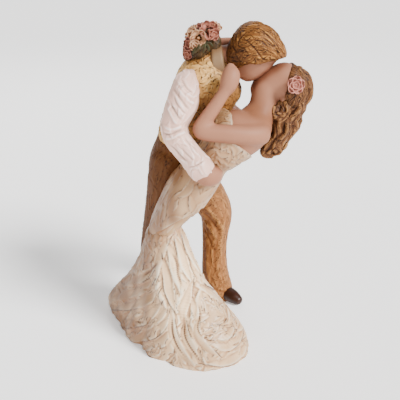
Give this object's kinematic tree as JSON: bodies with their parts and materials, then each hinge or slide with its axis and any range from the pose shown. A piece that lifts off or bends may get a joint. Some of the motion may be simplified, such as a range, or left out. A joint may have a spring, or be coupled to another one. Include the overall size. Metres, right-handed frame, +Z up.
{
  "type": "courting couple figurine",
  "caption": "Cast resin ornament of a groom bending over his bride in a dance dip, standing on the spread train of her dress, painted by hand.",
  "frame": {"origin": "middle of the bounding box on the plane of the flat underside", "axes": "+Z up; +X from the groom's back towards the bride's head; -Y towards the side that shows in the picture"},
  "size_m": [0.1785, 0.1309, 0.28],
  "materials": {
    "painted_resin": "hand-painted cold-cast resin, matte, brown antiquing wash in the carving",
    "dress_ivory": "ivory paint over palette-knife strokes, thin brown wash in the edges",
    "skin_paint": "smooth matte flesh paint, warm brown in the hollows",
    "hair_brown": "tan brown paint with dark brown wash between carved strands",
    "waistcoat_gold": "gold-beige crackled paint, brown in the crevices",
    "shirt_white": "white matte paint with soft folds",
    "trousers_tan": "tan paint over bark-like carving, dark brown wash",
    "shoe_brown": "dark brown satin paint",
    "blossom_pink": "pink and peach petals with golden hearts",
    "leaf_green": "dark green leaves with brown wash"
  },
  "bodies": {
    "root": {"courting_couple": "painted_resin"}
  },
  "joints": []
}
